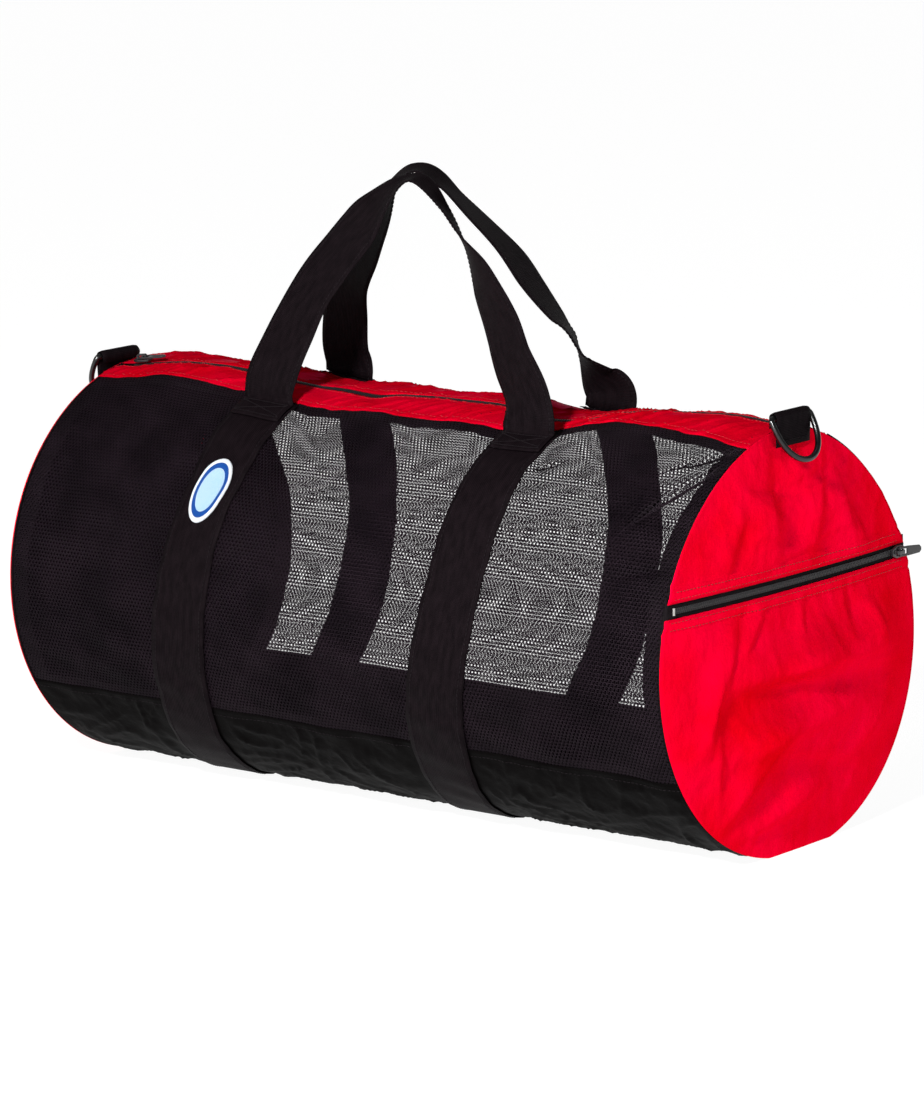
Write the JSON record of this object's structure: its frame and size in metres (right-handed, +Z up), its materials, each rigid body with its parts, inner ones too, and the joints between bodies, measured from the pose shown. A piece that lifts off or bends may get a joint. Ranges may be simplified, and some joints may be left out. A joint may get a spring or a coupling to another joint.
{
  "type": "mesh dive gear bag",
  "caption": "Round soft duffel of black net with red nylon ends and top strips, a nylon bottom, a zipped end pocket, webbing straps with carry loops and rings to clip a sling to.",
  "frame": {"origin": "on the floor, on the flat of the bottom panel under the middle of the bag", "axes": "+X along the bag to the end with the zipped pocket, -Y to the front, +Z up; the bag rests on its bottom as it does when packed"},
  "size_m": [0.809, 0.3906, 0.5845],
  "materials": {
    "red_nylon": "satin",
    "black_net": "open net of fine knitted holes",
    "black_nylon": "matte",
    "webbing": "woven, matte",
    "badge": "embroidered",
    "zip_chain": "satin",
    "zip_hardware": "satin black",
    "d_ring": "gloss"
  },
  "bodies": {
    "bag": {"net_front": "black_net", "net_back": "black_net", "top_strip_front": "red_nylon", "top_strip_back": "red_nylon", "main_zip_tape": "black_nylon", "main_zip_chain": "zip_chain", "bottom_panel": "black_nylon", "strap_left": "webbing", "strap_right": "webbing", "handle_front": "webbing", "handle_back": "webbing", "end_left": "red_nylon", "end_right_upper": "red_nylon", "end_right_pocket": "red_nylon", "pocket_zip_tape": "black_nylon", "pocket_zip_chain": "zip_chain", "seam_binding_left": "black_nylon", "seam_binding_right": "black_nylon", "ring_tab_left": "webbing", "ring_tab_right": "webbing", "main_zip_slider": "zip_hardware", "pocket_zip_slider": "zip_hardware", "oval_badge": "badge"},
    "ring_left": {"d_ring_left": "d_ring"},
    "ring_right": {"d_ring_right": "d_ring"},
    "main_pull": {"main_zip_pull": "zip_hardware"},
    "pocket_pull": {"pocket_zip_pull": "zip_hardware"}
  },
  "joints": [
    {"name": "ring_right_swing", "type": "hinge", "parent": "bag", "child": "ring_right", "pos_m": [0.38275, 0, 0.39241], "axis": [0, -1, 0], "range_deg": [0, 150]},
    {"name": "ring_left_swing", "type": "hinge", "parent": "bag", "child": "ring_left", "pos_m": [-0.38275, -0.03351, 0.38923], "axis": [0, 1, 0], "range_deg": [0, 150]},
    {"name": "main_pull_swing", "type": "hinge", "parent": "bag", "child": "main_pull", "pos_m": [-0.35474, -0.02977, 0.38677], "axis": [0.174, -0.9737, -0.1474], "range_deg": [0, 120]},
    {"name": "pocket_pull_swing", "type": "hinge", "parent": "bag", "child": "pocket_pull", "pos_m": [0.38985, 0.16056, 0.24478], "axis": [0, 0, -1], "range_deg": [0, 130]}
  ]
}
